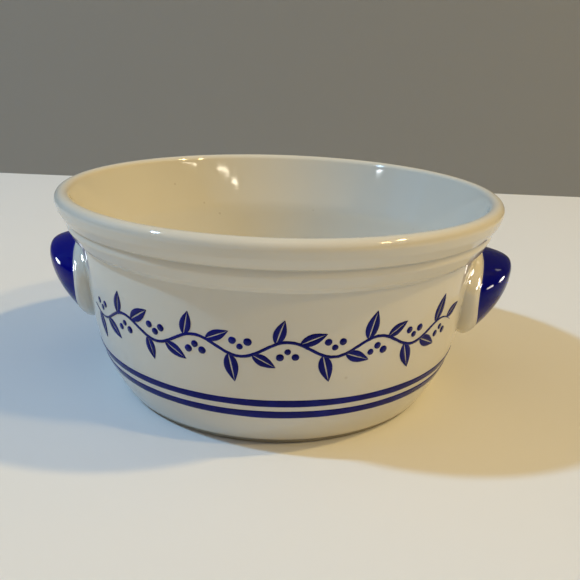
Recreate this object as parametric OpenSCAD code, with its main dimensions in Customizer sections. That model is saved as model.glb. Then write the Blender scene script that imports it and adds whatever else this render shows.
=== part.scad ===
// Lug soup bowl in glazed stoneware. A turned body with a stepped rim band
// carries two solid ear lugs, luted on under the band. The lugs' outer faces
// have a cobalt glaze coat, and two cobalt bands run round above the foot.
// Origin: centre of the foot, on the table. +Z up, lugs on the X axis.

/* [Bowl] */
// Outside diameter of the lip
rim_d = 150; // [135:1:180]
// Height of the lip above the table
bowl_h = 69; // [62:1:80]
// Thickness of the straight wall
wall_t = 4.6; // [3.5:0.1:6]
// Thickness of the floor
floor_t = 5.2; // [4:0.1:8]
// Lean of the straight wall, in degrees from upright
wall_lean = 7; // [4:0.5:9]
// Height where the belly curve runs into the straight wall
belly_z = 27; // [24:1:32]
// Radius of the well, between floor and wall
well_r = 21; // [14:1:26]

/* [Rim band] */
// Thickness of the rounded lip
lip_t = 5; // [4:0.1:6]
// How far the upper tier is set in from the lip
upper_in = 1.15; // [0.8:0.05:1.6]
// Height of the upper tier, from the middle of the lip to the step
upper_h = 5.9; // [5.2:0.1:7.5]
// How far the step's corner is set in from the lip
step_in = 3.25; // [2.8:0.05:3.8]
// How far the lower tier is set in from the lip
lower_in = 2.95; // [2.4:0.05:3.2]
// Height of the lower tier, from the step to the top of the wall
lower_h = 7.4; // [6.6:0.1:9]
// How far the top of the wall is set in from the lip
neck_in = 6.75; // [6:0.05:7.5]
// Flare of the inside behind the band, in degrees from upright
flare = 20; // [15:1:24]

/* [Foot] */
// How far the foot ring is set in from the top of the wall
foot_in = 13.25; // [10:0.25:18]
// Width of the foot ring where it stands
foot_w = 4; // [3:0.1:6]
// Depth of the recess under the floor
recess_h = 2.2; // [1.5:0.1:3.5]
// Height of the heel, where the wall turns under
heel_h = 2.7; // [2.2:0.1:4]
// How far the heel stands out from the foot ring
heel_out = 1.7; // [1:0.1:2.5]

/* [Cobalt bands] */
// Height of the lower band above the table
band_z = 12.5; // [9:0.1:15]
// Width of the lower band
band_w = 2.5; // [1.5:0.1:3]
// Clay left bare between the bands
band_gap = 1.9; // [1:0.1:3]
// Width of the upper band
band_top_w = 2.3; // [1.5:0.1:3]
// Depth of the inlay that the bands fill
inlay = 0.3; // [0.2:0.05:0.6]

/* [Lugs] */
// Width of a lug at the edge of its glaze
lug_w = 47; // [38:1:60]
// Height of the glazed face above its widest level
lug_up = 9; // [8:0.1:13]
// Depth of the glazed face below its widest level
lug_down = 19.8; // [15:0.1:20.4]
// Height of the widest level above the table
lug_z = 40.6; // [37:0.1:42]
// How far the edge of the glaze stands out from the neck
lug_root = 2.4; // [2:0.1:5]
// How far the domed face stands out from its glaze edge
lug_dome = 11.4; // [7:0.1:13]
// How far the dome's crown lies above the widest level
lug_lift = 3.8; // [0:0.1:7]
// How far the root's roll stands out beside and above the glaze edge
lug_roll = 3.4; // [2:0.1:5]
// How far the root's roll hangs below the glaze edge
lug_chin = 0.7; // [0.5:0.1:3]
// Fillet where the root is luted to the wall
lug_fillet = 0.7; // [0.4:0.1:1.2]
// Thickness of the cobalt coat
coat_t = 0.3; // [0.2:0.05:0.6]

/* [Hidden] */

white_glaze = "#ece9e0";
cobalt = "#16188c";

// Radii of the outline's small curves, as shares of the lip's thickness
cove_round_share = 0.14;
upper_round_share = 0.22;
step_round_share = 0.09;
lower_round_share = 0.44;
skirt_round_share = 0.48;
neck_round_share = 0.18;
flare_round_share = 5.2;

// Edge of the foot ring, as a share of its width
foot_edge_share = 0.15;

// Where the cove, the ridges and the skirt lie within their tiers
cove_share = 0.47;
upper_ridge_share = 0.7;
cove_in_share = 1.2;
lower_ridge_share = 0.3;
skirt_share = 0.77;
skirt_in_share = 0.46;

// Angle below the horizontal where the lip's round ends
lip_end = -42;

// Steps in the curves, and the overrun of a cut
curve_n = 8;
belly_n = 18;
turn_n = 180;
over = 1;

rim_r = rim_d / 2;
lip_r = lip_t / 2;
lip_c = [rim_r - lip_r, bowl_h - lip_r];
step_z = lip_c.y - upper_h;
skirt_in = lower_in + (neck_in - lower_in) * skirt_in_share;
neck = [rim_r - neck_in, step_z - lower_h];
belly_top = wall_point(belly_z);
foot_r = neck.x - foot_in;
foot_edge = foot_w * foot_edge_share;
heel = [foot_r + heel_out, heel_h];
floor_z = recess_h + floor_t;

// The belly is the one arc that is tangent to the wall at its top and ends at the heel
belly_run = heel - belly_top;
belly_in = [-cos(wall_lean), sin(wall_lean)];
belly_r = (belly_run * belly_run) / (2 * belly_run * belly_in);
belly_c = belly_top + belly_r * belly_in;

// Point of the straight wall's outside at height z
function wall_point(z) = [neck.x - (neck.y - z) * tan(wall_lean), z];

// Outside radius of the wall at height z
function wall_r(z) = z > belly_z
    ? wall_point(z).x
    : belly_c.x + sqrt(belly_r * belly_r - (z - belly_c.y) * (z - belly_c.y));

function unit(v) = v / norm(v);
function on_arc(c, r, a) = c + r * [cos(a), sin(a)];
function arc(c, r, from, to, n) = [for (i = [0:n]) on_arc(c, r, from + (to - from) * i / n)];

// The corner at p, rounded to radius r between the points before and after it
function rounded(before, p, after, r, n) =
    let (u = unit(before - p), v = unit(after - p),
         half = acos(u * v) / 2,
         c = p + unit(u + v) * r / sin(half),
         a = atan2((p + u * r / tan(half) - c).y, (p + u * r / tan(half) - c).x),
         b = atan2((p + v * r / tan(half) - c).y, (p + v * r / tan(half) - c).x),
         turn = b - a > 180 ? b - a - 360 : b - a < -180 ? b - a + 360 : b - a)
    arc(c, r, a, a + turn, n);

// Corners of the rim band from the lip down to the wall, each with its radius
lip_out = on_arc(lip_c, lip_r, lip_end);
band_corners = [
    [lip_out, 0],
    [[rim_r - upper_in * cove_in_share, lip_c.y - upper_h * cove_share], lip_t * cove_round_share],
    [[rim_r - upper_in, lip_c.y - upper_h * upper_ridge_share], lip_t * upper_round_share],
    [[rim_r - step_in, step_z], lip_t * step_round_share],
    [[rim_r - lower_in, step_z - lower_h * lower_ridge_share], lip_t * lower_round_share],
    [[rim_r - skirt_in, step_z - lower_h * skirt_share], lip_t * skirt_round_share],
    [neck, lip_t * neck_round_share],
    [belly_top, 0]];
band_outline = [for (i = [1:len(band_corners) - 2])
    each rounded(band_corners[i - 1][0], band_corners[i][0], band_corners[i + 1][0],
                 band_corners[i][1], curve_n)];

belly_outline = [for (i = [0:belly_n])
    let (z = belly_z + (heel_h - belly_z) * i / belly_n) [wall_r(z), z]];

// Foot ring, from the heel to the middle of the recess
foot_outline = concat(
    arc([foot_r, heel_h], heel_out, 0, -90, curve_n),
    arc([foot_r - foot_edge, foot_edge], foot_edge, 0, -90, curve_n),
    arc([foot_r - foot_w + foot_edge, foot_edge], foot_edge, -90, -180, curve_n),
    [[foot_r - foot_w - recess_h, recess_h], [0, recess_h]]);

// Inside: floor, well, wall and the flare up to the lip's round
lip_start = 180 - flare;
flare_top = on_arc(lip_c, lip_r, lip_start);
inner_foot = wall_point(floor_z) - [wall_t / cos(wall_lean), 0];
inner_wall = [sin(wall_lean), cos(wall_lean)];
flare_line = [sin(flare), cos(flare)];
flare_meet = let (d = flare_top - inner_foot)
    inner_foot + inner_wall * (d.x * flare_line.y - d.y * flare_line.x)
                            / (inner_wall.x * flare_line.y - inner_wall.y * flare_line.x);
inner_outline = concat(
    [[0, floor_z]],
    rounded([0, floor_z], inner_foot, flare_meet, well_r, belly_n),
    rounded(inner_foot, flare_meet, flare_top, lip_t * flare_round_share, curve_n));

module turned(outline) {
    rotate_extrude($fn = turn_n) polygon(outline);
}

// The band from height z up by w, from the inlay's depth out to proud beyond the wall
module belly_band(z, w, proud) {
    turned(concat(
        [for (i = [0:curve_n]) let (h = z + w * i / curve_n) [wall_r(h) - inlay, h]],
        [for (i = [curve_n:-1:0]) let (h = z + w * i / curve_n) [wall_r(h) + proud, h]]));
}

// All that lies inside the bowl's outer surface, which the lugs are cut to
module outer_form() {
    turned(concat([[0, bowl_h + over], [lip_out.x, bowl_h + over], lip_out],
                  band_outline, belly_outline, [[0, heel_h]]));
}

module bowl_body() {
    color(white_glaze) difference() {
        turned(concat(inner_outline, arc(lip_c, lip_r, lip_start, lip_end, 3 * curve_n),
                      band_outline, belly_outline, foot_outline));
        belly_band(band_z, band_w, over);
        belly_band(band_z + band_w + band_gap, band_top_w, over);
    }
}

module band_lower() {
    color(cobalt) belly_band(band_z, band_w, 0);
}

module band_upper() {
    color(cobalt) belly_band(band_z + band_w + band_gap, band_top_w, 0);
}

// A lug is a stack of rings round the line from the bowl's axis through its widest level.
// Each ring is a rounded outline, fuller above the widest level than below it.
ring_n = 44;
root_n = 8;
dome_n = 10;
upper_power = 2 / 1.9;
lower_power = 2 / 1.75;
fullness = 1.06;
pole_angle = 86;
root_start = -18;
fillet_share = 0.3;
edge_r = neck.x + lug_root;

function power(v, e) = sign(v) * pow(abs(v), e);

// Point j of a ring round the height mid, with the given half width, rise above mid and
// depth below it: a share of the way from the wall to the glaze edge, and out beyond that
function ring_point(j, mid, half_w, up, down, share, out) =
    let (a = 360 * j / ring_n,
         e = sin(a) > 0 ? upper_power : lower_power,
         z = mid + (sin(a) > 0 ? up : down) * power(sin(a), e),
         r = wall_r(z) + (edge_r - wall_r(z)) * share + out,
         turn = half_w * power(cos(a), e) / edge_r * 180 / PI)
    [r * cos(turn), r * sin(turn), z];

// Ring i of the root, from inside the wall to the glaze edge: a small fillet on the wall,
// then a quarter roll
function root_ring(i) =
    let (share = sin(root_start + (90 - root_start) * i / root_n),
         s = max(0, share), roll = sqrt(1 - s * s),
         foot = lug_fillet * pow(max(0, 1 - s / fillet_share), 2),
         beside = lug_roll * roll + foot, below = lug_chin * roll + foot)
    [for (j = [0:ring_n - 1])
        ring_point(j, lug_z, lug_w / 2 + beside, lug_up + beside, lug_down + below, share, 0)];

// Ring i of the domed face, drawn in all round by less
function dome_ring(i, less) =
    let (t = pole_angle * i / dome_n, g = cos(t))
    [for (j = [0:ring_n - 1])
        ring_point(j, lug_z + lug_lift * (1 - g), (lug_w / 2 - less) * g, (lug_up - less) * g,
                   (lug_down - less) * g, 1, lug_dome * pow(1 - g * g, fullness) - less * sin(t))];

// Closed solid through rings of ring_n points, with flat ends
module loft(rings) {
    n = len(rings);
    polyhedron(
        points = [for (r = rings) each r],
        faces = concat(
            [[for (j = [0:ring_n - 1]) j]],
            [for (k = [0:n - 2], j = [0:ring_n - 1])
                let (a = k * ring_n + j, b = k * ring_n + (j + 1) % ring_n)
                each [[a, a + ring_n, b + ring_n], [a, b + ring_n, b]]],
            [[for (j = [ring_n - 1:-1:0]) (n - 1) * ring_n + j]]));
}

module lug() {
    difference() {
        loft(concat([for (i = [0:root_n]) root_ring(i)],
                    [for (i = [0:dome_n]) dome_ring(i, coat_t)]));
        outer_form();
    }
}

// Cup-shaped layer between the lug's clay and the finished face
module lug_coat() {
    difference() {
        loft(concat([for (i = [dome_n:-1:0]) dome_ring(i, coat_t)],
                    [for (i = [0:dome_n]) dome_ring(i, 0)]));
        outer_form();
    }
}

module lug_right() { color(white_glaze) lug(); }
module lug_left() { color(white_glaze) mirror([1, 0, 0]) lug(); }
module lug_coat_right() { color(cobalt) lug_coat(); }
module lug_coat_left() { color(cobalt) mirror([1, 0, 0]) lug_coat(); }

bowl_body();
band_upper();
band_lower();
lug_left();
lug_right();
lug_coat_left();
lug_coat_right();
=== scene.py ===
# %% [markdown]
# # Lug soup bowl
# A stoneware bowl, thrown on a wheel: a stepped rim band, two solid ear lugs under cobalt
# glaze, two cobalt stripes and a foot ring. The CAD model fixes its sizes. This script
# builds the visual model over it in the same frame, so that each piece can be laid over
# the CAD node that it stands for.

# %% Load the frame
import math
import bmesh
import bpy
import numpy as np
from mathutils import Matrix, Vector


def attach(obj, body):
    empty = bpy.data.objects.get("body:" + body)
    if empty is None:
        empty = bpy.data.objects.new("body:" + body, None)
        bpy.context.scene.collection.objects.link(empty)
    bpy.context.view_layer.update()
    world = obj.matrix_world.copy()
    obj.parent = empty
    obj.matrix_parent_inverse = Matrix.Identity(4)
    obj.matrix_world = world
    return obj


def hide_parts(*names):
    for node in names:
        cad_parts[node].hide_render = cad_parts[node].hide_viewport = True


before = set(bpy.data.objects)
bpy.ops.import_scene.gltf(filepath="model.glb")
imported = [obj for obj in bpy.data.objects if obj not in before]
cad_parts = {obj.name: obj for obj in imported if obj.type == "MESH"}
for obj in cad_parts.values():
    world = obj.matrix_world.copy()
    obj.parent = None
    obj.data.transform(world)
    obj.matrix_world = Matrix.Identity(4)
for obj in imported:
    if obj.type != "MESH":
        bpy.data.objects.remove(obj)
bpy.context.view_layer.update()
print("CAD nodes:", ", ".join(sorted(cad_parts)))

# %% [markdown]
# ## Sizes
# These are the driving sizes of the CAD source, in millimetres, under the same names.
# Repeating them here, in place of reading the CAD mesh, lets the visual model use smooth
# curves where the CAD has facets, and keeps every edge in the same place.

# %% Sizes
MM = 0.001
rim_r, bowl_h = 75.0, 69.0
wall_t, floor_t, wall_lean = 4.6, 5.2, 7.0
belly_z, well_r = 27.0, 21.0
lip_t, flare = 5.0, 20.0
upper_in, upper_h, step_in = 1.15, 5.9, 3.25
lower_in, lower_h, neck_in = 2.95, 7.4, 6.75
foot_in, foot_w, recess_h = 13.25, 4.0, 2.2
heel_h, heel_out = 2.7, 1.7
band_z, band_w, band_gap, band_top_w = 12.5, 2.5, 1.9, 2.3
lug_w, lug_up, lug_down, lug_z = 47.0, 9.0, 19.8, 40.6
lug_root, lug_dome, lug_lift = 2.4, 11.4, 3.8
lug_roll, lug_chin, lug_fillet, coat_t = 3.4, 0.7, 0.7, 0.3
print("Rim", 2 * rim_r, "mm across,", bowl_h, "mm high")

# %% [markdown]
# ## The outline
# A thrown bowl is its outline, turned about the axis. The potter's rib rounds each corner
# by its own amount. A bevel of the turned mesh would round them all alike, so each corner
# is rounded in the outline, by an arc that is tangent to both sides. The belly is the one
# arc that runs on from the straight wall and ends at the heel.

# %% Arcs and rounded corners
def unit(v):
    return v / np.linalg.norm(v)


def on_arc(centre, radius, degrees):
    a = math.radians(degrees)
    return np.array(centre) + radius * np.array([math.cos(a), math.sin(a)])


def arc(centre, radius, start, end, n):
    return [on_arc(centre, radius, start + (end - start) * i / n) for i in range(n + 1)]


def degrees_of(v):
    return math.degrees(math.atan2(v[1], v[0]))


def rounded(before, corner, after, radius, n=10):
    """Arc that rounds the corner to this radius."""
    u, v = unit(before - corner), unit(after - corner)
    half = math.acos(u @ v) / 2
    centre = corner + unit(u + v) * radius / math.sin(half)
    reach = radius / math.tan(half)
    start = degrees_of(corner + u * reach - centre)
    turn = (degrees_of(corner + v * reach - centre) - start + 180) % 360 - 180
    return arc(centre, radius, start, start + turn, n)


print("Arc helpers ready")

# %% Wall and belly
lean = math.radians(wall_lean)
lip_r = lip_t / 2
lip_c = np.array([rim_r - lip_r, bowl_h - lip_r])
step_z = lip_c[1] - upper_h
neck = np.array([rim_r - neck_in, step_z - lower_h])
foot_r = neck[0] - foot_in


def wall_point(z):
    return np.array([neck[0] - (neck[1] - z) * math.tan(lean), z])


belly_top = wall_point(belly_z)
heel = np.array([foot_r + heel_out, heel_h])
belly_run = heel - belly_top
belly_in = np.array([-math.cos(lean), math.sin(lean)])
belly_r = (belly_run @ belly_run) / (2 * belly_run @ belly_in)
belly_c = belly_top + belly_r * belly_in


def wall_r(z):
    """Outside radius of the wall at height z, for one height or an array of them."""
    z = np.asarray(z, float)
    straight = neck[0] - (neck[1] - z) * math.tan(lean)
    curved = belly_c[0] + np.sqrt(belly_r ** 2 - np.minimum(z - belly_c[1], 0) ** 2)
    return np.where(z > belly_z, straight, curved)


print("Belly radius", round(belly_r, 2), "mm; wall at the belly", round(belly_top[0], 2), "mm")

# %% Corners of the rim band, each with its rounding as a share of the lip's thickness
lip_end = -14
skirt_share, step_out, step_down = 0.46, 0.2, 0.1
skirt_in = lower_in + (neck_in - lower_in) * skirt_share
step_corner = np.array([rim_r - step_in + step_out, step_z - step_down])
corners = [
    (on_arc(lip_c, lip_r, lip_end), 0),
    ((rim_r - upper_in * 0.52, lip_c[1] - upper_h * 0.45), 0.9),
    ((rim_r - upper_in * 1.95, step_z + 0.35), 0.14),
    (step_corner, 0.05),
    ((rim_r - lower_in, step_z - lower_h * 0.3), 0.44),
    ((rim_r - skirt_in, step_z - lower_h * 0.77), 0.48),
    (neck, 0.18),
    (belly_top, 0)]
points = [np.array(p) for p, share in corners]
band = []
for before, corner, after, (place, share) in zip(points, points[1:], points[2:], corners[1:]):
    band += rounded(before, corner, after, share * lip_t)
print("Rim band of", len(corners), "corners and", len(band), "points")

# %% The whole outline, from the middle of the floor round to the middle of the recess
floor_z = recess_h + floor_t
middle = np.array([0.0, floor_z])
inner_foot = wall_point(floor_z) - np.array([wall_t / math.cos(lean), 0])
flare_top = on_arc(lip_c, lip_r, 180 - flare)
along_wall = np.array([math.sin(lean), math.cos(lean)])
along_flare = np.array([math.sin(math.radians(flare)), math.cos(math.radians(flare))])
solved = np.linalg.solve(np.column_stack([along_wall, along_flare]), flare_top - inner_foot)
flare_meet = inner_foot + along_wall * solved[0]
flare_round, foot_edge, heel_edge, heel_bevel = 5.2 * lip_t, foot_w * 0.15, heel_h * 0.8, 0.2
outline = np.array(
    [middle]
    + rounded(middle, inner_foot, flare_meet, well_r, 24)
    + rounded(inner_foot, flare_meet, flare_top, flare_round, 12)
    + arc(lip_c, lip_r, 180 - flare, lip_end, 26)
    + band
    + [np.array([wall_r(z), z]) for z in np.linspace(belly_z, heel_edge, 26)]
    + [np.array([wall_r(heel_edge) - heel_bevel, heel_edge - heel_bevel]),
       np.array([foot_r + heel_bevel, heel_edge - 2.5 * heel_bevel]),
       np.array([foot_r, heel_edge - 4 * heel_bevel])]
    + arc([foot_r - foot_edge, foot_edge], foot_edge, 0, -90, 6)
    + arc([foot_r - foot_w + foot_edge, foot_edge], foot_edge, -90, -180, 6)
    + [np.array([foot_r - foot_w - recess_h, recess_h]), np.array([0.0, recess_h])])
print("Outline of", len(outline), "points, highest at", round(outline[:, 1].max(), 2), "mm")

# %% [markdown]
# Long straight runs get points in between, so that the slight unevenness of hand work
# has vertices to act on. Each point also keeps how sharply the clay turns outward there,
# because melted glaze draws away from such edges and lies thinner on them. In the step
# under the upper tier the colour is darkened, as painted shade and partly for glaze that
# gathers there. A shader could look for edges by itself, but the outline already knows
# where they are.

# %% Even spacing, where the glaze is thin, and painted shade in the step
def spaced(points, longest):
    """The same polyline with no step longer than this."""
    out = [points[0]]
    for a, b in zip(points, points[1:]):
        n = max(1, math.ceil(np.linalg.norm(b - a) / longest))
        out += [a + (b - a) * k / n for k in range(1, n + 1)]
    return np.array(out)


def outward_bend(points, reach=0.8, sharp=0.5):
    """How far the line turns outward within reach of each point, as a share of sharp."""
    run = np.concatenate([[0], np.cumsum(np.linalg.norm(np.diff(points, axis=0), axis=1))])
    back = np.column_stack([np.interp(run - reach, run, points[:, k]) for k in (0, 1)])
    ahead = np.column_stack([np.interp(run + reach, run, points[:, k]) for k in (0, 1)])
    a, b = points - back, ahead - points
    turn = -np.arctan2(a[:, 0] * b[:, 1] - a[:, 1] * b[:, 0], (a * b).sum(axis=1))
    return np.clip(turn / sharp, 0, 1)


pool_spread, longest_step, same_point = 0.12, 1.4, 1e-4
apart = np.linalg.norm(np.diff(outline, axis=0), axis=1) > same_point
outline = spaced(outline[np.concatenate([[True], apart])], longest_step)
thin = outward_bend(outline)
# Painted shade, with some pooled glaze: a darkening that falls off around the step under the upper
# tier.
pool = np.exp(-((outline - step_corner) ** 2).sum(axis=1) / pool_spread)
print("Spaced outline:", len(outline), "points; thin glaze on", int((thin > 0.5).sum()), "of them")

# %% [markdown]
# ## Helpers for node trees
# Geometry Nodes and shader nodes share the same Math node. A small class that stands for
# one socket lets a formula be written as a formula, and each operation adds its node.

# %% Fields that write like formulas
def plug(tree, socket, value):
    """Links a field to the socket, or sets a constant on it."""
    if isinstance(value, Field):
        tree.links.new(value.socket, socket)
    else:
        socket.default_value = value


def add(tree, kind, **settings):
    made = tree.nodes.new(kind)
    for name, value in settings.items():
        setattr(made, name, value)
    return made


def calc(operation, *terms):
    """A Math node over fields and numbers."""
    tree = next(t.tree for t in terms if isinstance(t, Field))
    made = add(tree, "ShaderNodeMath", operation=operation)
    for socket, term in zip(made.inputs, terms):
        plug(tree, socket, term)
    return Field(tree, made.outputs[0])


class Field:
    """One output socket, ready for arithmetic."""

    def __init__(self, tree, socket):
        self.tree, self.socket = tree, socket

    def __add__(self, other):
        return calc("ADD", self, other)

    def __radd__(self, other):
        return calc("ADD", other, self)

    def __sub__(self, other):
        return calc("SUBTRACT", self, other)

    def __rsub__(self, other):
        return calc("SUBTRACT", other, self)

    def __mul__(self, other):
        return calc("MULTIPLY", self, other)

    def __rmul__(self, other):
        return calc("MULTIPLY", other, self)

    def __truediv__(self, other):
        return calc("DIVIDE", self, other)

    def __pow__(self, other):
        return calc("POWER", self, other)


def split(tree, vector):
    made = add(tree, "ShaderNodeSeparateXYZ")
    plug(tree, made.inputs[0], vector)
    return [Field(tree, s) for s in made.outputs]


def join(tree, x, y, z):
    made = add(tree, "ShaderNodeCombineXYZ")
    for socket, value in zip(made.inputs, (x, y, z)):
        plug(tree, socket, value)
    return Field(tree, made.outputs[0])


def smooth(value, low, high):
    """0 below low, 1 above high, and an S-curve between."""
    made = add(value.tree, "ShaderNodeMapRange", interpolation_type="SMOOTHSTEP")
    for socket, term in zip(made.inputs, (value, low, high, 0.0, 1.0)):
        plug(value.tree, socket, term)
    return Field(value.tree, made.outputs[0])


def noise(tree, vector, scale, detail=1.0):
    """Smooth noise from 0 to 1; scale counts features per unit of the vector."""
    made = add(tree, "ShaderNodeTexNoise")
    plug(tree, made.inputs["Vector"], vector)
    made.inputs["Scale"].default_value = scale
    made.inputs["Detail"].default_value = detail
    return Field(tree, made.outputs[0])


def new_tree(name, kind, inputs, outputs):
    """A node group with these sockets; gives the tree, its input fields and its output node."""
    tree = bpy.data.node_groups.new(name, kind)
    for side, sockets in (("INPUT", inputs), ("OUTPUT", outputs)):
        for title, socket_kind, *value in sockets:
            made = tree.interface.new_socket(
                name=title, in_out=side, socket_type="NodeSocket" + socket_kind)
            if value:
                made.default_value = value[0]
    source = tree.nodes.new("NodeGroupInput")
    fields = {s.name: Field(tree, s) for s in source.outputs if s.name}
    return tree, fields, tree.nodes.new("NodeGroupOutput")


print("Node helpers ready")

# %% Running a tree, and closing what it made
def mesh_object(name, vertices, faces=()):
    mesh = bpy.data.meshes.new(name)
    mesh.from_pydata([tuple(v) for v in vertices], [], list(faces))
    obj = bpy.data.objects.new(name, mesh)
    bpy.context.scene.collection.objects.link(obj)
    return obj


def bake(obj):
    """Keeps what the object's modifiers make as its plain mesh."""
    depsgraph = bpy.context.evaluated_depsgraph_get()
    mesh = bpy.data.meshes.new_from_object(
        obj.evaluated_get(depsgraph), preserve_all_data_layers=True, depsgraph=depsgraph)
    obj.modifiers.clear()
    obj.data = mesh


def run_nodes(obj, tree, values):
    """Runs the tree on obj with these named values and bakes the result."""
    modifier = obj.modifiers.new(tree.name, "NODES")
    modifier.node_group = tree
    for item in tree.interface.items_tree:
        if item.in_out == "INPUT" and item.name in values:
            modifier[item.identifier] = values[item.name]
    bake(obj)


def close_up(obj, join_within=1e-6):
    """Merges vertices that coincide, turns all faces outward and shades them smooth."""
    made = bmesh.new()
    made.from_mesh(obj.data)
    bmesh.ops.remove_doubles(made, verts=made.verts, dist=join_within)
    bmesh.ops.dissolve_degenerate(made, edges=made.edges, dist=join_within)
    bmesh.ops.recalc_face_normals(made, faces=made.faces)
    for face in made.faces:
        face.smooth = True
    open_edges = sum(1 for e in made.edges if len(e.link_faces) != 2)
    made.to_mesh(obj.data)
    made.free()
    triangles = sum(len(p.vertices) - 2 for p in obj.data.polygons)
    print(obj.name + ":", triangles, "triangles,", open_edges, "open edges")


print("Mesh helpers ready")

# %% [markdown]
# ## Glaze
# A glossy glaze is coloured clay seen through a layer of glass: one Principled shader
# with low roughness does both. What makes it look fired are small things: a tone that
# drifts over centimetres, a surface that lies in gentle ripples, and a few pinholes. They
# are shared by all three glazes, so they are one node group.

# %% Node group: what firing does to a glaze
def put_group(tree, group, **values):
    made = add(tree, "ShaderNodeGroup", node_tree=group)
    for name, value in values.items():
        plug(tree, made.inputs[name], value)
    return {s.name: Field(tree, s) for s in made.outputs}


def object_coordinates(tree):
    return Field(tree, add(tree, "ShaderNodeTexCoord").outputs["Object"])


fired, given, end = new_tree(
    "Fired surface", "ShaderNodeTree",
    [("Ripple", "Float", 1.0), ("Pinholes", "Float", 1.0)],
    [("Tone", "Float"), ("Pinhole", "Float"), ("Roughness", "Float"), ("Normal", "Vector")])
place = object_coordinates(fired)
tone = noise(fired, place, 22, 3)
swell = noise(fired, place, 70, 1)
peel = noise(fired, place, 420, 1)
cells = add(fired, "ShaderNodeTexVoronoi")
plug(fired, cells.inputs["Vector"], place)
cells.inputs["Scale"].default_value = 170
near = Field(fired, cells.outputs["Distance"])
chosen = split(fired, Field(fired, cells.outputs["Color"]))[0]
pinhole = (1.0 - smooth(near, 0.05, 0.11)) * smooth(chosen, 0.86, 0.9) * given["Pinholes"]
swell_h, peel_h, pinhole_h = 0.00010, 0.000004, 0.00004
height = (swell * swell_h + peel * peel_h) * given["Ripple"] - pinhole * pinhole_h
bump = add(fired, "ShaderNodeBump")
bump.inputs["Distance"].default_value = 1.0
plug(fired, bump.inputs["Height"], height)
plug(fired, end.inputs["Tone"], tone)
plug(fired, end.inputs["Pinhole"], pinhole)
plug(fired, end.inputs["Roughness"], 0.03 + tone * 0.03 + pinhole * 0.3)
plug(fired, end.inputs["Normal"], Field(fired, bump.outputs[0]))
print("Group:", fired.name, "with", len(fired.nodes), "nodes")

# %% Helpers for materials
def new_material(name):
    """Material with an empty tree but for the shader; gives the material, tree and shader."""
    material = bpy.data.materials.new(name)
    material.use_nodes = True
    tree = material.node_tree
    return material, tree, tree.nodes["Principled BSDF"]


def mix_colour(tree, share, first, second):
    made = add(tree, "ShaderNodeMix", data_type="RGBA")
    plug(tree, made.inputs[0], share)
    plug(tree, made.inputs[6], first)
    plug(tree, made.inputs[7], second)
    return Field(tree, made.outputs[2])


def painted_on(tree, name):
    """The attribute of that name, which the mesh carries at its vertices."""
    return Field(tree, add(tree, "ShaderNodeAttribute", attribute_name=name).outputs["Fac"])


def set_glaze(shader, colour, roughness, normal, ior, level=0.5):
    for title, field in (("Base Color", colour), ("Roughness", roughness), ("Normal", normal)):
        plug(colour.tree, shader.inputs[title], field)
    shader.inputs["IOR"].default_value = ior
    shader.inputs["Specular IOR Level"].default_value = level


print("Material helpers ready")

# %% [markdown]
# The white glaze is creamy, and warmer where it thins over a convex edge and the clay
# shows through. It reads from the mesh the places where it is thin, and the creases,
# where it is darkened as painted shade and partly for glaze that gathers there. The foot
# ring stands on the kiln shelf, so it is wiped bare. That could be a piece of its own, but
# the clay is one piece, so the shader goes over to matt buff clay in its lowest
# millimetre and a half.

# %% White glaze
CREAM_DARK, CREAM_PALE = (0.69, 0.655, 0.565, 1), (0.72, 0.69, 0.605, 1)
# The dark crease colour below is painted shade, with some pooled glaze.
POOLED_GLAZE_AND_SHADE, THINNED, PIT = (0.34, 0.31, 0.25, 1), (0.72, 0.63, 0.48, 1), (0.33, 0.26, 0.18, 1)
CLAY = (0.38, 0.34, 0.265, 1)
white, tree, shader = new_material("White glaze")
skin = put_group(tree, fired, Ripple=1.0, Pinholes=1.0)
low = split(tree, object_coordinates(tree))[2]
bare = 1.0 - smooth(low, 0.0014, 0.0018)
glaze = mix_colour(tree, skin["Tone"], CREAM_DARK, CREAM_PALE)
# Painted shade, with some pooled glaze: darker in the step under the upper tier and in the lugs'
# creases.
glaze = mix_colour(tree, painted_on(tree, "pool") * 0.3, glaze, POOLED_GLAZE_AND_SHADE)
glaze = mix_colour(tree, painted_on(tree, "thin") * 0.3, glaze, THINNED)
glaze = mix_colour(tree, skin["Pinhole"] * 0.35, glaze, PIT)
glaze = mix_colour(tree, bare, glaze, CLAY)
set_glaze(shader, glaze, skin["Roughness"] + bare * 0.8, skin["Normal"], 1.52)
print("Material:", white.name)

# %% [markdown]
# Cobalt slip is laid on with a loaded brush against the turning bowl, so its density
# varies a little along the stroke; the gloss over it is the same glaze as elsewhere. The
# lugs' cobalt glaze is thicker and darker, and lighter only where its edge runs thin.

# %% Cobalt slip and cobalt glaze
SLIP_DARK, SLIP_PALE = (0.003, 0.005, 0.14, 1), (0.006, 0.010, 0.19, 1)
slip, tree, shader = new_material("Cobalt slip")
skin = put_group(tree, fired, Ripple=0.8, Pinholes=0.4)
stroke = noise(tree, object_coordinates(tree), 160, 2)
blue = mix_colour(tree, smooth(stroke, 0.42, 0.68), SLIP_DARK, SLIP_PALE)
set_glaze(shader, blue, skin["Roughness"], skin["Normal"], 1.26, 0.3)

COBALT_DARK, COBALT_PALE = (0.002, 0.002, 0.15, 1), (0.003, 0.004, 0.21, 1)
COBALT_EDGE = (0.03, 0.05, 0.36, 1)
cobalt, tree, shader = new_material("Cobalt glaze")
skin = put_group(tree, fired, Ripple=0.9, Pinholes=0.3)
blue = mix_colour(tree, skin["Tone"], COBALT_DARK, COBALT_PALE)
blue = mix_colour(tree, painted_on(tree, "edge") * 0.5, blue, COBALT_EDGE)
set_glaze(shader, blue, skin["Roughness"], skin["Normal"], 1.22, 0.3)
print("Materials:", slip.name, "and", cobalt.name)

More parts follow.
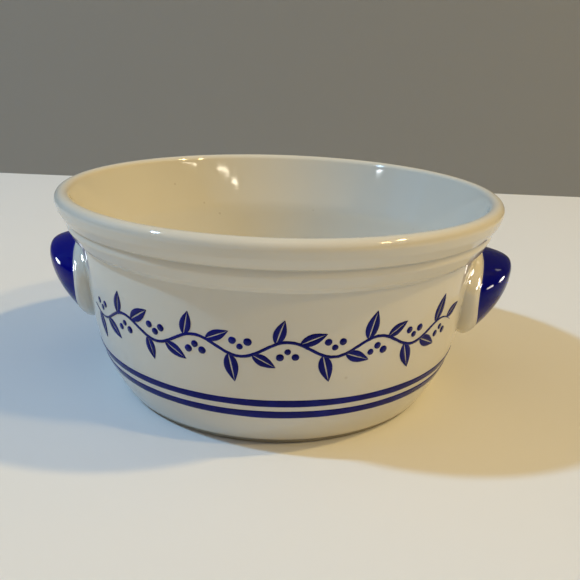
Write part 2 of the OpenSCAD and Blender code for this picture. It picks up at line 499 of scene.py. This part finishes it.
# %% [markdown]
# ## Turning on the wheel
# Geometry Nodes do what the wheel does: they take the outline as a row of points and copy
# it round the axis. A Screw modifier would turn it too, but would make every column the
# same. Here each vertex of a grid, with one column for each step of the turn, looks up its
# row's point, and a trace of noise, inward only, gives the unevenness of a hand-held rib.

# %% Geometry Nodes: turn an outline
wheel, given, end = new_tree(
    "Turned on the wheel", "GeometryNodeTree",
    [("Outline", "Geometry"), ("Turns", "Int", 320), ("Unevenness", "Float", 0.0),
     ("Edge wander", "Float", 0.0), ("Glaze", "Material")],
    [("Turned", "Geometry")])
count = add(wheel, "GeometryNodeAttributeDomainSize")
plug(wheel, count.inputs[0], given["Outline"])
rows = Field(wheel, count.outputs[0])
grid = add(wheel, "GeometryNodeMeshGrid")
plug(wheel, grid.inputs["Vertices X"], given["Turns"] + 1.0)
plug(wheel, grid.inputs["Vertices Y"], rows)
index = Field(wheel, add(wheel, "GeometryNodeInputIndex").outputs[0])
column = calc("FLOOR", (index + 0.5) / rows)
row = index - column * rows


def looked_up(tree, geometry, value, index, data_type):
    """The value of the outline's point with that index."""
    made = add(tree, "GeometryNodeSampleIndex", data_type=data_type)
    plug(tree, made.inputs["Geometry"], geometry)
    plug(tree, made.inputs["Value"], value)
    plug(tree, made.inputs["Index"], index)
    return Field(tree, made.outputs[0])


def named(tree, name):
    made = add(tree, "GeometryNodeInputNamedAttribute")
    made.inputs[0].default_value = name
    return Field(tree, made.outputs[0])


def moved(tree, geometry, place):
    made = add(tree, "GeometryNodeSetPosition")
    plug(tree, made.inputs["Geometry"], geometry)
    plug(tree, made.inputs["Position"], place)
    return Field(tree, made.outputs[0])


def coloured(tree, geometry, material):
    made = add(tree, "GeometryNodeSetMaterial")
    plug(tree, made.inputs["Geometry"], geometry)
    plug(tree, made.inputs["Material"], material)
    return Field(tree, made.outputs[0])


print("Each vertex knows its row and its column")

# %% Geometry Nodes: the place of each vertex, and what it carries
position = Field(wheel, add(wheel, "GeometryNodeInputPosition").outputs[0])
radius, _, level = split(
    wheel, looked_up(wheel, given["Outline"], position, row, "FLOAT_VECTOR"))
# The outline's thin-glaze mark and its painted-shade mark (with some pooled glaze) ride along to
# each vertex.
thin_field, pool_field, side_field = [
    looked_up(wheel, given["Outline"], named(wheel, title), row, "FLOAT")
    for title in ("thin", "pool", "side")]
turned_by = column * (2 * math.pi) / given["Turns"]
cosine, sine = calc("COSINE", turned_by), calc("SINE", turned_by)
around = join(wheel, radius * cosine, radius * sine, level)
dent = noise(wheel, around, 28, 2) * given["Unevenness"] * smooth(radius, 0.01, 0.04)
wander = (noise(wheel, around, 55, 2) - 0.5) * given["Edge wander"] * side_field
place = join(wheel, (radius - dent) * cosine, (radius - dent) * sine, level + wander)
made = moved(wheel, Field(wheel, grid.outputs["Mesh"]), place)
for title, value in (("thin", thin_field), ("pool", pool_field)):
    keep = add(wheel, "GeometryNodeStoreNamedAttribute", data_type="FLOAT", domain="POINT")
    plug(wheel, keep.inputs["Geometry"], made)
    keep.inputs["Name"].default_value = title
    plug(wheel, keep.inputs["Value"], value)
    made = Field(wheel, keep.outputs[0])
weld = add(wheel, "GeometryNodeMergeByDistance")
weld.inputs["Distance"].default_value = 1e-6
plug(wheel, weld.inputs["Geometry"], made)
plug(wheel, end.inputs[0], coloured(wheel, Field(wheel, weld.outputs[0]), given["Glaze"]))
print("Tree:", wheel.name, "with", len(wheel.nodes), "nodes")

# %% Helper: an outline as an object that carries its attributes
def outline_object(name, points, **attributes):
    obj = mesh_object(name, [(r * MM, 0, z * MM) for r, z in points])
    for title in ("thin", "pool", "side"):
        values = np.asarray(attributes.get(title, np.zeros(len(points))), np.float32)
        obj.data.attributes.new(title, "FLOAT", "POINT").data.foreach_set("value", values)
    return obj


print("Outline helper ready")

# %% The turned body
body = outline_object("turned_body", outline, thin=thin, pool=pool)
run_nodes(body, wheel, {"Turns": 320, "Unevenness": 0.00012, "Glaze": white})
close_up(body)
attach(body, "root")
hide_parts("bowl_body")

# %% [markdown]
# ## Cobalt stripes
# The potter holds a full brush still while the wheel turns. A mask in the white glaze
# could colour the stripes, but a ring of its own keeps its edge crisp close up. It is a
# skin a few hundredths of a millimetre proud, and its two edges wander by a tenth of a
# millimetre each way. The same tree turns it: the outline is a closed strip, and its
# upper and lower points carry +1 and -1, which tells the tree which way the wander moves
# them.

# %% Stripes
slip_out, slip_in, edge_in, edge_run = 0.04, 0.25, 0.02, 0.05


def stripe(name, node, z, w):
    heights = np.linspace(z, z + w, 7)
    outer = [(wall_r(h) + slip_out, h) for h in heights]
    low_edge = (wall_r(z) - edge_in, z - edge_run)
    high_edge = (wall_r(z + w) - edge_in, z + w + edge_run)
    outer = [low_edge] + outer + [high_edge]
    inner = [(wall_r(h) - slip_in, h) for h in heights[::-1]]
    ring = np.array(outer + inner + outer[:1])
    side = (ring[:, 1] - z) / w * 2 - 1
    obj = outline_object(name, ring, side=side)
    run_nodes(obj, wheel, {"Turns": 400, "Edge wander": 0.0004, "Glaze": slip})
    close_up(obj)
    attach(obj, "root")
    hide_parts(node)


stripe("stripe_lower", "band_lower", band_z, band_w)
stripe("stripe_upper", "band_upper", band_z + band_w + band_gap, band_top_w)

# %% [markdown]
# ## Ear lugs
# Each lug is a solid lump of clay, pressed to shape and luted on with slip. A block could
# be subdivided and pushed into that shape, but its foot has to lie on the curved wall. So
# its surface is a stack of rings, as in the CAD: a quarter roll out from the wall to the
# edge of the glaze, then a dome whose crown lies above the lug's middle. Numpy works out
# the rings, because one formula in two directions is shorter there than as nodes.

# %% Rings of a lug
RING = 144
ring_angle = np.arange(RING) * 2 * math.pi / RING
edge_r = neck[0] + lug_root
lug_widest, round_above, round_below = 0.63, 1.9, 1.8
lug_bulge, bulge_power = 2.0, 1.3


def power(value, exponent):
    return np.sign(value) * np.abs(value) ** exponent


def ring(top, bottom, half_w, share, out):
    """Points from height top to bottom, a share of the way from the wall to the glaze edge."""
    c, s = np.cos(ring_angle), np.sin(ring_angle)
    e = np.where(s > 0, 2 / round_above, 2 / round_below)
    widest = bottom + (top - bottom) * lug_widest
    z = widest + np.where(s > 0, top - widest, widest - bottom) * power(s, e)
    r = wall_r(z) + (edge_r - wall_r(z)) * share + out
    turn = half_w * power(c, e) / edge_r
    return np.column_stack([r * np.cos(turn), r * np.sin(turn), z])


fillet_share = 0.3


def root_ring(share):
    """Ring of the roll; share runs from 0 at the wall to 1 at the glaze edge."""
    s = np.maximum(0, share)
    roll = np.sqrt(np.maximum(0, 1 - s * s))
    fillet = lug_fillet * np.maximum(0, 1 - s / fillet_share) ** 2
    beside, below = lug_roll * roll + fillet, lug_chin * roll + fillet
    below = below + lug_bulge * np.sin(math.pi * s) ** bulge_power
    top, bottom = lug_z + lug_up + beside, lug_z - lug_down - below
    return ring(top, bottom, lug_w / 2 + beside, share, 0)


dome_out, crown_lift, dome_power = lug_dome - 0.06, lug_lift + 0.3, 2 * 1.06
power_above, power_below = 0.8, 0.92


def dome_ring(inward, less):
    """Ring of the dome; inward runs from 0 at the glaze edge to 1 at the crown, and less is
    how far it lies under the dome's own surface."""
    g = 1 - np.asarray(inward, float)
    sine = np.sqrt(np.maximum(0, 1 - g * g))
    out = dome_out * sine ** dome_power - less * sine
    middle = lug_z + crown_lift * (1 - g)
    top = middle + (lug_up - less) * g ** power_above
    bottom = middle - (lug_down - less) * g ** power_below
    return ring(top, bottom, (lug_w / 2 - less) * g, 1, out)


print("Edge of the lugs' glaze at", round(edge_r, 2), "mm from the axis")

# %% Lofts, and their mirror image
def s_curve(x):
    x = np.clip(x, 0, 1)
    return x * x * (3 - 2 * x)


def loft(name, rings, mirrored, material):
    """Skin over rings of points, with its ends closed by a vertex in their middle."""
    stack = np.array(rings)
    vertices = stack.reshape(-1, 3)
    n = len(stack)
    faces = []
    for k in range(n - 1):
        for j in range(RING):
            a, b = k * RING + j, k * RING + (j + 1) % RING
            faces.append((a, b, b + RING, a + RING))
    centres = [stack[0].mean(axis=0), stack[-1].mean(axis=0)]
    vertices = np.vstack([vertices, centres]) * MM
    last = (n - 1) * RING
    for j in range(RING):
        faces.append((last + j, last + (j + 1) % RING, n * RING + 1))
        faces.append(((j + 1) % RING, j, n * RING))
    if mirrored:
        vertices[:, 0] *= -1
    obj = mesh_object(name, vertices, faces=faces)
    obj.data.materials.append(material)
    return obj


def clay_less(inward):
    """How far the clay is drawn in under the coat."""
    return coat_t * s_curve(inward / 0.04)


def carry(obj, title, values):
    """Gives each vertex its value of that name; the two end vertices get none."""
    values = np.concatenate([np.ravel(values), [0, 0]]).astype(np.float32)
    obj.data.attributes.new(title, "FLOAT", "POINT").data.foreach_set("value", values)


print("Loft helpers ready")

# %% Clay of the lugs
roll_shares = np.sin(np.radians(np.linspace(-18, 90, 30)))
dome_shares = 1 - np.cos(np.radians(np.linspace(0, 90, 40)[1:-1]))
crease_at, crease_spread = 0.08, 0.12


def lug(name, node, mirrored):
    rings = [root_ring(share) for share in roll_shares]
    rings += [dome_ring(inward, clay_less(inward)) for inward in dome_shares]
    obj = loft(name, rings, mirrored, white)
    # Painted shade, with some pooled glaze: the crease where the roll meets the wall is marked to
    # be darkened.
    depth = np.exp(-((roll_shares - crease_at) / crease_spread) ** 2)
    depth = np.concatenate([depth, np.zeros(len(dome_shares))])
    carry(obj, "pool", np.repeat(depth, RING))
    close_up(obj)
    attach(obj, "root")
    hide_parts(node)
    return obj


lug_right = lug("ear_lug_right", "lug_right", False)
lug_left = lug("ear_lug_left", "lug_left", True)

# %% [markdown]
# The lugs are dipped in cobalt glaze up to their edge. A second material on the same
# faces would give the colour but no thickness, so the coat is a shell three tenths of a
# millimetre thick. Its border wanders a little, as a dipped edge does, and ends in a
# rounded bead. An attribute marks the border, where the glaze is thin and lighter.

# %% Cobalt coat of the lugs
border_share, border_wander, sunk = 0.014, 0.004, 0.06
bead_share, pale_share = 0.012, 0.03
coat_rise = 1 - np.cos(np.radians(np.linspace(0, 90, 61)))
coat_shares = np.concatenate([[0, 0.00012, 0.0004, 0.0008], coat_rise[4:-1]])


def coat(name, node, mirrored, seed):
    phase = np.random.default_rng(seed).uniform(0, 2 * math.pi, 3)
    waves = sum(np.sin(k * ring_angle + p) / k for k, p in zip((2, 5, 11), phase))
    border = border_share + border_wander * waves
    inner, outer, near_edge = [], [], []
    for share in coat_shares:
        inward = border + (1 - border) * share
        bare = clay_less(inward)
        over = s_curve((inward - border) / bead_share)
        inner.append(dome_ring(inward, bare + sunk))
        outer.append(dome_ring(inward, bare * (1 - over)))
        near_edge.append(1 - s_curve((inward - border) / pale_share))
    obj = loft(name, inner[::-1] + outer, mirrored, cobalt)
    carry(obj, "edge", near_edge[::-1] + near_edge)
    close_up(obj)
    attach(obj, "root")
    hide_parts(node)
    return obj


coat_right = coat("cobalt_coat_right", "lug_coat_right", False, 3)
coat_left = coat("cobalt_coat_left", "lug_coat_left", True, 8)

# %% [markdown]
# ## Vine border
# The front and the back carry a painted vine in cobalt: a stem that swings up and down,
# leaves on the outside of each swing and a spray of berries inside it. An image on the
# wall would blur close up, so the strokes are meshes. Geometry Nodes lay them out flat, as
# on paper, and then wrap them round the leaning wall.

# %% Geometry Nodes: a flat vine
vine_z = 36
vine, given, end = new_tree(
    "Vine border", "GeometryNodeTree",
    [("Start", "Geometry"), ("Length", "Float", 0.131), ("Swings", "Int", 5),
     ("Swing height", "Float", 0.0025), ("Stem width", "Float", 0.0009),
     ("Leaf length", "Float", 0.0085), ("Berry size", "Float", 0.0022),
     ("Height", "Float", vine_z * MM), ("Facing", "Float", 0.0), ("Seed", "Int", 1),
     ("Colour", "Material")],
    [("Vine", "Geometry")])


def at_position(tree):
    return split(tree, Field(tree, add(tree, "GeometryNodeInputPosition").outputs[0]))


def flat_grid(tree, length, width, columns, rows):
    made = add(tree, "GeometryNodeMeshGrid")
    for socket, value in zip(made.inputs, (length, width, columns, rows)):
        plug(tree, socket, value)
    return Field(tree, made.outputs["Mesh"])


phase_rate = given["Swings"] * (2 * math.pi) / given["Length"]


def stem_height(x):
    return given["Swing height"] * calc("SINE", x * phase_rate)


def stem_slope(x):
    return given["Swing height"] * phase_rate * calc("COSINE", x * phase_rate)


flat_x, flat_y, _ = at_position(vine)
slope = stem_slope(flat_x)
tilt = calc("SQRT", slope * slope + 1.0)
taper = 1.0 - smooth(calc("ABSOLUTE", flat_x) / given["Length"], 0.4, 0.53)
stem = flat_grid(vine, given["Length"], given["Stem width"], 481, 3)
stem = moved(vine, stem, join(vine, flat_x, stem_height(flat_x) + flat_y * tilt * taper, 0.0))
print("Stem set out")

# %% Leaf and berry, each a small flat shape
half = flat_grid(vine, 1.0, 1.0, 13, 4)
along, across = flat_x + 0.5, flat_y + 0.5
tip_gap, vein_share, half_width = 0.001, 0.022, 0.2
belly = calc("SINE", (along ** 0.8) * math.pi) ** 0.9
half_leaf = join(vine, along, tip_gap + vein_share * belly + across * (half_width * belly), 0.0)
upper_half = moved(vine, half, half_leaf)
mirror = add(vine, "GeometryNodeTransform")
plug(vine, mirror.inputs["Geometry"], upper_half)
mirror.inputs["Scale"].default_value = (1, -1, 1)
leaf = add(vine, "GeometryNodeJoinGeometry")
plug(vine, leaf.inputs[0], upper_half)
plug(vine, leaf.inputs[0], Field(vine, mirror.outputs[0]))
disc = add(vine, "GeometryNodeMeshCircle", fill_type="TRIANGLE_FAN")
disc.inputs["Vertices"].default_value = 20
disc.inputs["Radius"].default_value = 0.5
print("Leaf and berry set out")


# %% Leaves outside each swing, berries inside it
def stations(per_swing):
    """Points on the stem, this many to a swing, each in the middle of its stretch."""
    made = add(vine, "GeometryNodeMeshLine")
    plug(vine, made.inputs["Count"], given["Swings"] * float(per_swing))
    number = Field(vine, add(vine, "GeometryNodeInputIndex").outputs[0])
    x = (number + 0.5) / (given["Swings"] * float(per_swing)) * given["Length"]
    x = x - given["Length"] * 0.5
    return Field(vine, made.outputs[0]), number, x


def random_between(low, high, number, salt):
    made = add(vine, "FunctionNodeRandomValue", data_type="FLOAT")
    plug(vine, made.inputs[2], low)
    plug(vine, made.inputs[3], high)
    plug(vine, made.inputs["ID"], number)
    plug(vine, made.inputs["Seed"], given["Seed"] + float(salt))
    return Field(vine, made.outputs[1])


def strewn(points, shape, angle, size):
    made = add(vine, "GeometryNodeInstanceOnPoints")
    plug(vine, made.inputs["Points"], points)
    plug(vine, made.inputs["Instance"], shape)
    plug(vine, made.inputs["Rotation"], join(vine, 0.0, 0.0, angle))
    plug(vine, made.inputs["Scale"], join(vine, size, size, size))
    return Field(vine, made.outputs[0])


def side_of(x):
    """+1 where the stem is above its middle and -1 below."""
    return calc("SIGN", calc("SINE", x * phase_rate))


pieces = [stem]
points, number, x = stations(4)
points = moved(vine, points, join(vine, x, stem_height(x), 0.0))
lean_out = random_between(0.75, 1.05, number, 1)
angle = calc("ARCTANGENT", stem_slope(x)) + side_of(x) * lean_out
size = given["Leaf length"] * random_between(0.85, 1.1, number, 2)
pieces.append(strewn(points, Field(vine, leaf.outputs[0]), angle, size))
# Of each berry in a spray: how far along the stem, how far from it, and its size
BERRIES = ((0.0, 2.2, 0.9), (1.6, 3.4, 1.0), (-1.5, 3.5, 0.95))
spacing = 0.62
for k, (ahead, drop, scale) in enumerate(BERRIES):
    points, number, x = stations(2)
    place = join(vine, x + ahead * given["Berry size"] * spacing,
                 stem_height(x) - side_of(x) * drop * given["Berry size"] * spacing, 0.0)
    size = given["Berry size"] * scale * random_between(0.9, 1.1, number, 5 + k)
    pieces.append(strewn(moved(vine, points, place), Field(vine, disc.outputs[0]), number, size))
print(len(pieces), "kinds of stroke")

# %% [markdown]
# Wrapping turns the flat drawing's x into an angle round the bowl and its y into a
# height, and takes the radius from the line of the straight wall. The vine is then
# given the thickness of a brush stroke, most of it sunk below the surface of the glaze.

# %% Wrap the vine round the wall
together = add(vine, "GeometryNodeJoinGeometry")
for piece in pieces[::-1]:
    plug(vine, together.inputs[0], piece)
real = add(vine, "GeometryNodeRealizeInstances")
plug(vine, real.inputs[0], Field(vine, together.outputs[0]))
flat_x, flat_y, _ = at_position(vine)
hand_shake = 0.00025
shake = (noise(vine, join(vine, flat_x, flat_y, given["Facing"]), 900, 1) - 0.5) * hand_shake
level = given["Height"] + flat_y + shake
wall = (neck[0] - neck[1] * math.tan(lean) + slip_out) * MM + level * math.tan(lean)
turned_by = given["Facing"] + flat_x / float(wall_r(vine_z) * MM)
place = join(vine, wall * calc("COSINE", turned_by), wall * calc("SINE", turned_by), level)
wrapped = moved(vine, Field(vine, real.outputs[0]), place)
plug(vine, end.inputs[0], coloured(vine, wrapped, given["Colour"]))
print("Tree:", vine.name, "with", len(vine.nodes), "nodes")


# %% The two runs of vine
stroke_join, stroke_t = 1e-7, 0.0001


def face_away(obj):
    """Joins each stroke's own vertices and turns its faces away from the bowl's axis."""
    made = bmesh.new()
    made.from_mesh(obj.data)
    bmesh.ops.remove_doubles(made, verts=made.verts, dist=stroke_join)
    bmesh.ops.dissolve_degenerate(made, edges=made.edges, dist=stroke_join)
    made.normal_update()
    for face in made.faces:
        centre = face.calc_center_median()
        if face.normal.x * centre.x + face.normal.y * centre.y < 0:
            face.normal_flip()
    made.to_mesh(obj.data)
    made.free()


def vine_run(name, facing, seed):
    obj = mesh_object(name, [(0, 0, 0)])
    run_nodes(obj, vine, {"Facing": math.radians(facing), "Seed": seed, "Colour": slip})
    face_away(obj)
    stroke_body = obj.modifiers.new("Stroke", "SOLIDIFY")
    stroke_body.thickness = stroke_t
    stroke_body.offset = -1
    bake(obj)
    close_up(obj, stroke_join)
    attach(obj, "root")


vine_run("vine_front", -90, 4)
vine_run("vine_back", 90, 9)

# %% [markdown]
# ## Studio
# A pale floor runs back to a soft backdrop. The light is a cool lamp at the left and two
# warm ones at the right, all a little in front of the bowl, so that one shadow is warm and
# the other cool. A dim room lies all round, brightest overhead. Small weak lamps only make
# glints in the glaze.

# %% Floor and backdrop
def stage_face(name, material_name, colour, roughness, vertices):
    material, _, shader = new_material(material_name)
    shader.inputs["Base Color"].default_value = colour
    shader.inputs["Roughness"].default_value = roughness
    obj = mesh_object(name, vertices, [(0, 1, 2, 3)])
    obj.data.materials.append(material)
    return obj


room, back_y = 3, 0.375
floor = stage_face(
    "Floor", "Pale floor", (0.785, 0.78, 0.77, 1), 0.6,
    [(-room, -room, 0), (room, -room, 0), (room, back_y, 0), (-room, back_y, 0)])
backdrop = stage_face(
    "Backdrop", "Backdrop", (0.30, 0.296, 0.28, 1), 0.8,
    [(-room, back_y, 0), (room, back_y, 0), (room, back_y, room), (-room, back_y, room)])
print("Floor and backdrop set")

# %% Lamps
aim_z = 0.045


def lamp(name, bearing, elevation, distance, size, watts, colour):
    """Area light aimed at the bowl; size is its width and height. The bearing counts from
    the viewer, positive to the right."""
    data = bpy.data.lights.new(name, "AREA")
    data.shape = "ELLIPSE"
    data.size, data.size_y = size
    data.energy = watts
    data.color = colour
    obj = bpy.data.objects.new(name, data)
    bpy.context.scene.collection.objects.link(obj)
    b, e = math.radians(bearing), math.radians(elevation)
    toward = Vector((math.sin(b) * math.cos(e), -math.cos(b) * math.cos(e), math.sin(e)))
    obj.location = Vector((0, 0, aim_z)) + toward * distance
    obj.rotation_euler = toward.to_track_quat("Z", "Y").to_euler()
    return obj


COOL, ICE, FROST = (0.38, 0.66, 1.0), (0.80, 0.91, 1.0), (0.9, 0.96, 1.0)
WARM, GOLD = (1.0, 0.72, 0.28), (1.0, 0.90, 0.70)
IVORY, CREAM = (1.0, 0.92, 0.80), (1.0, 0.92, 0.78)
LAMPS = (
    ("Cool lamp", -80, 49, 3.0, (0.16, 0.16), 47.0, COOL),
    ("Warm lamp", 88, 51, 3.0, (0.16, 0.16), 31.5, WARM),
    ("Second warm lamp", 66, 44, 3.0, (0.20, 0.20), 19.5, WARM),
    ("Window", -101, 22, 1.6, (1.2, 0.8), 1.0, COOL),
    ("Glint 1", 70, 30.5, 1.0, (0.15, 0.010), 0.09, GOLD),
    ("Glint 2", 46, 31.5, 1.0, (0.12, 0.009), 0.07, GOLD),
    ("Glint 3", 38, 31, 1.0, (0.07, 0.009), 0.05, GOLD),
    ("Glint 4", -69, 29, 1.0, (0.07, 0.012), 0.08, FROST),
    ("Glint 5", 9, 77, 1.0, (0.40, 0.03), 0.15, CREAM))
for settings in LAMPS:
    lamp(*settings)
print(len(LAMPS), "lamps light everything")

# %% [markdown]
# Like a lamp with a flag before it, five more reach the lugs alone, so that their glints
# don't show in the lip. They are without diffuse light, so they only make highlights.

# %% Lamps for the lugs' highlights
LUG_GLINTS = (
    ("Lug glint 1", -99, 4, 1.0, (0.20, 0.20), 6.5, ICE),
    ("Lug glint 2", 101, 4, 1.0, (0.22, 0.18), 6.5, IVORY),
    ("Lug glint 3", 80, 5, 1.0, (0.18, 0.16), 4.5, IVORY),
    ("Lug glint 4", -127, 18, 1.0, (0.30, 0.30), 1.3, ICE),
    ("Lug glint 5", 121, 34, 1.0, (0.26, 0.20), 0.9, IVORY))
lugs = bpy.data.collections.new("Lugs")
for piece in (coat_left, coat_right, lug_left, lug_right):
    lugs.objects.link(piece)
for settings in LUG_GLINTS:
    glint = lamp(*settings)
    glint.light_linking.receiver_collection = lugs
    glint.visible_diffuse = False
print(len(LUG_GLINTS), "lamps reach the lugs alone")

# %% The dim room
DIM, OVERHEAD = (0.035, 0.033, 0.03, 1), (0.40, 0.355, 0.30, 1)
world = bpy.data.worlds.new("Room")
bpy.context.scene.world = world
world.use_nodes = True
tree = world.node_tree
sky = split(tree, Field(tree, add(tree, "ShaderNodeTexCoord").outputs["Generated"]))[2]
glow = mix_colour(tree, smooth(sky, 0.1, 1.0), DIM, OVERHEAD)
plug(tree, tree.nodes["Background"].inputs["Color"], glow)
print("World:", world.name)

# %% [markdown]
# ## Camera
# The camera was worked out from the photograph by fitting the ellipses of the lip, the
# stripes and the foot: its place, its axes and its lens. The lugs lie three degrees off
# the photograph's cross direction, so the camera is turned by that about the axis.

# %% Camera
lug_turn = math.radians(3.0)
camera_data = bpy.data.cameras.new("Camera")
camera_data.sensor_width = 36
camera_data.lens = 41.18
camera_data.clip_start = 0.01
camera = bpy.data.objects.new("Camera", camera_data)
bpy.context.scene.collection.objects.link(camera)
right = Vector((0.99940057, -0.00700572, 0.03390315))
down = Vector((0.0296484, -0.33241278, -0.94266787))
ahead = Vector((0.0178739, 0.94310798, -0.33200582))
pose = Matrix((right, -down, -ahead)).transposed().to_4x4()
pose.translation = Vector((0, -0.22967, 0.1110))
camera.matrix_world = Matrix.Rotation(lug_turn, 4, "Z") @ pose
bpy.context.scene.camera = camera
bpy.context.scene.view_settings.view_transform = "Standard"
print("Camera at", tuple(round(v, 4) for v in camera.matrix_world.translation))
